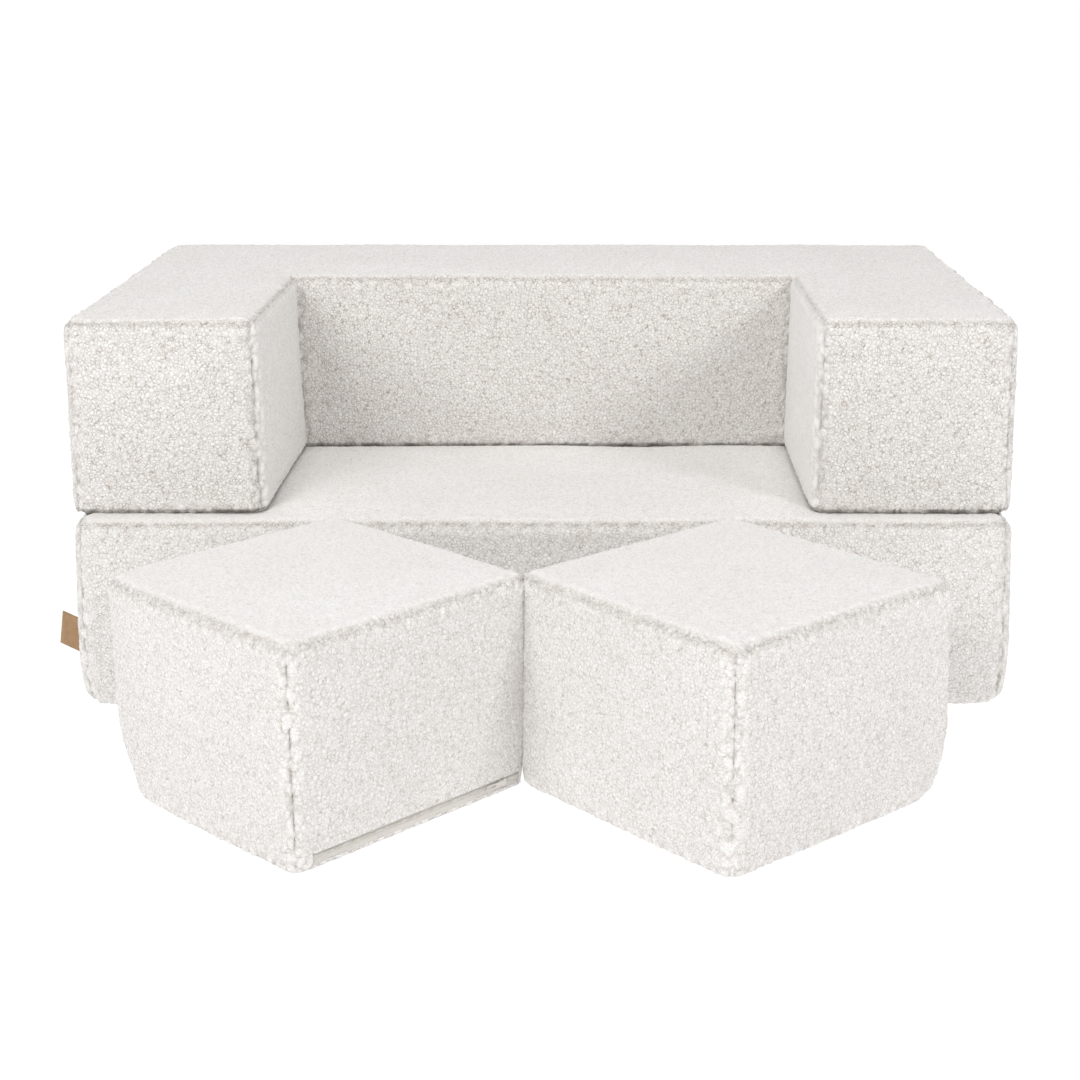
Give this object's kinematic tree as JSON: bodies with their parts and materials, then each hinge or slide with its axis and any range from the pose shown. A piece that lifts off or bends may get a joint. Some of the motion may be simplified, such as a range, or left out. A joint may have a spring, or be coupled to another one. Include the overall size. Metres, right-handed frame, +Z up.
{
  "type": "modular foam play sofa",
  "caption": "Low children's sofa of loose boucle-covered foam blocks: a base, a U-shaped back with arms that lies on it, and square poufs set cornerwise in front; zipped covers.",
  "frame": {"origin": "on the floor, under the middle of the base block's flat underside", "axes": "+Z up, the sofa faces -Y, +X to the right seen from the front"},
  "size_m": [1.0324, 1.0357, 0.4143],
  "materials": {
    "boucle": "off-white curled boucle pile, matte",
    "foam": "open-cell polyurethane foam, matte",
    "zip_tape": "woven polyester tape, matte",
    "zip_chain": "nylon coil, satin",
    "zip_metal": "off-white enamelled zinc, satin",
    "leather": "tan, plain, matte"
  },
  "bodies": {
    "base": {"base_front_panel": "boucle", "base_right_panel": "boucle", "base_back_panel": "boucle", "base_left_panel": "boucle", "base_top_panel": "boucle", "base_bottom_panel": "boucle", "base_foam_core": "foam", "base_zip_upper_tape": "zip_tape", "base_zip_lower_tape": "zip_tape", "base_zip_chain": "zip_chain", "leather_label": "leather"},
    "base_zip_slider": {"base_zip_slider": "zip_metal"},
    "base_zip_pull": {"base_zip_pull": "zip_metal"},
    "backrest": {"backrest_left_arm_front_panel": "boucle", "backrest_left_arm_inner_panel": "boucle", "backrest_front_panel": "boucle", "backrest_right_arm_inner_panel": "boucle", "backrest_right_arm_front_panel": "boucle", "backrest_right_panel": "boucle", "backrest_rear_panel": "boucle", "backrest_left_panel": "boucle", "backrest_top_panel": "boucle", "backrest_bottom_panel": "boucle", "backrest_foam_core": "foam", "backrest_zip_upper_tape": "zip_tape", "backrest_zip_lower_tape": "zip_tape", "backrest_zip_chain": "zip_chain"},
    "backrest_zip_slider": {"backrest_zip_slider": "zip_metal"},
    "backrest_zip_pull": {"backrest_zip_pull": "zip_metal"},
    "left_pouf": {"left_pouf_front_panel": "boucle", "left_pouf_right_panel": "boucle", "left_pouf_back_panel": "boucle", "left_pouf_left_panel": "boucle", "left_pouf_top_panel": "boucle", "left_pouf_bottom_panel": "boucle", "left_pouf_foam_core": "foam", "left_pouf_zip_upper_tape": "zip_tape", "left_pouf_zip_lower_tape": "zip_tape", "left_pouf_zip_chain": "zip_chain"},
    "left_pouf_zip_slider": {"left_pouf_zip_slider": "zip_metal"},
    "left_pouf_zip_pull": {"left_pouf_zip_pull": "zip_metal"},
    "right_pouf": {"right_pouf_front_panel": "boucle", "right_pouf_right_panel": "boucle", "right_pouf_back_panel": "boucle", "right_pouf_left_panel": "boucle", "right_pouf_top_panel": "boucle", "right_pouf_bottom_panel": "boucle", "right_pouf_foam_core": "foam", "right_pouf_zip_upper_tape": "zip_tape", "right_pouf_zip_lower_tape": "zip_tape", "right_pouf_zip_chain": "zip_chain"},
    "right_pouf_zip_slider": {"right_pouf_zip_slider": "zip_metal"},
    "right_pouf_zip_pull": {"right_pouf_zip_pull": "zip_metal"}
  },
  "joints": [
    {"name": "backrest_lift", "type": "slide", "parent": "base", "child": "backrest", "axis": [0, 0, 1], "range_m": [0, 0.25]},
    {"name": "left_pouf_lift", "type": "slide", "parent": "base", "child": "left_pouf", "axis": [0, 0, 1], "range_m": [0, 0.45]},
    {"name": "right_pouf_lift", "type": "slide", "parent": "base", "child": "right_pouf", "axis": [0, 0, 1], "range_m": [0, 0.45]},
    {"name": "base_zip_slide", "type": "slide", "parent": "base", "child": "base_zip_slider", "axis": [1, 0, 0], "range_m": [0, 0.908]},
    {"name": "base_pull_swing", "type": "hinge", "parent": "base_zip_slider", "child": "base_zip_pull", "pos_m": [-0.454, 0.3134, 0.0265], "axis": [0, 0, 1], "range_deg": [0, 175]},
    {"name": "backrest_zip_slide", "type": "slide", "parent": "backrest", "child": "backrest_zip_slider", "axis": [1, 0, 0], "range_m": [0, 0.922]},
    {"name": "backrest_pull_swing", "type": "hinge", "parent": "backrest_zip_slider", "child": "backrest_zip_pull", "pos_m": [-0.463, 0.3134, 0.2218], "axis": [0, 0, 1], "range_deg": [0, 175]},
    {"name": "left_pouf_zip_slide", "type": "slide", "parent": "left_pouf", "child": "left_pouf_zip_slider", "axis": [-0.6953, -0.7187, 0], "range_m": [0, 0.208]},
    {"name": "left_pouf_pull_swing", "type": "hinge", "parent": "left_pouf_zip_slider", "child": "left_pouf_zip_pull", "pos_m": [-0.03371, -0.54994, 0.0125], "axis": [0, 0, 1], "range_deg": [0, 175]},
    {"name": "right_pouf_zip_slide", "type": "slide", "parent": "right_pouf", "child": "right_pouf_zip_slider", "axis": [0.7484, 0.6633, 0], "range_m": [0, 0.208]},
    {"name": "right_pouf_pull_swing", "type": "hinge", "parent": "right_pouf_zip_slider", "child": "right_pouf_zip_pull", "pos_m": [0.00853, -0.48154, 0.0125], "axis": [0, 0, 1], "range_deg": [0, 175]}
  ]
}
